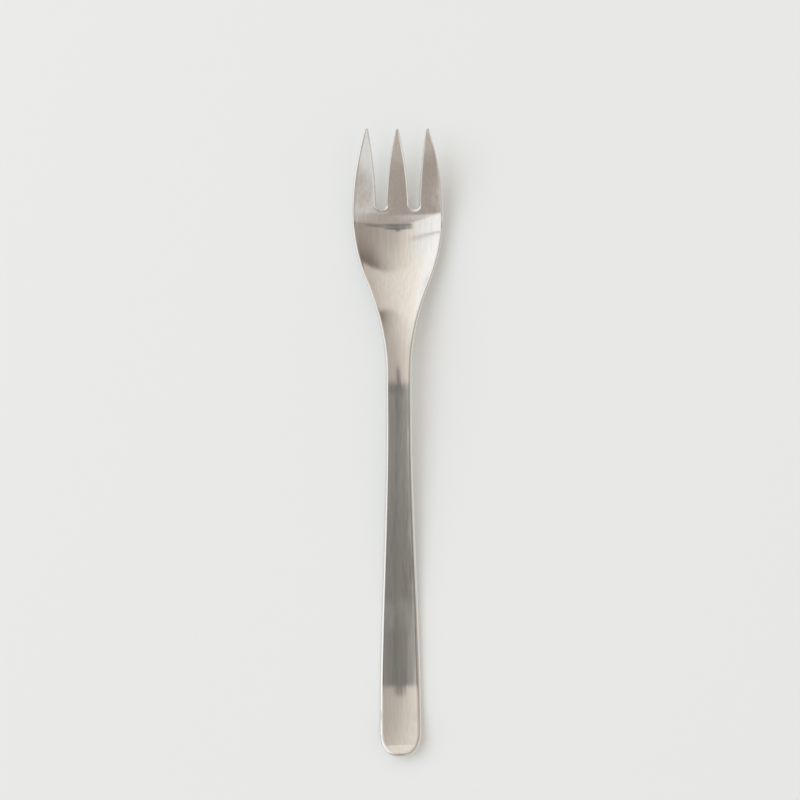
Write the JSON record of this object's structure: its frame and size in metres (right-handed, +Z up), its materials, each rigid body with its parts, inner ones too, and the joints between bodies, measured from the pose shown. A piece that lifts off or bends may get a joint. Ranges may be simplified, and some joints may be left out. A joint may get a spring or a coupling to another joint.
{
  "type": "table fork",
  "caption": "Satin stainless steel table fork with a dished head, tapered tines, a slim neck and a low-arched handle that widens to a rounded, slightly lifted tail.",
  "frame": {"origin": "centre of the fork's box in plan, on the surface that the fork lies on", "axes": "+Y along the fork from the tail of the handle to the tine tips, +Z up out of the hollow side, +X to the right seen from above with the tines away from the viewer"},
  "size_m": [0.027, 0.185, 0.0146],
  "materials": {
    "steel": "satin stainless steel, brushed lengthwise"
  },
  "bodies": {
    "root": {"fork": "steel"}
  },
  "joints": []
}
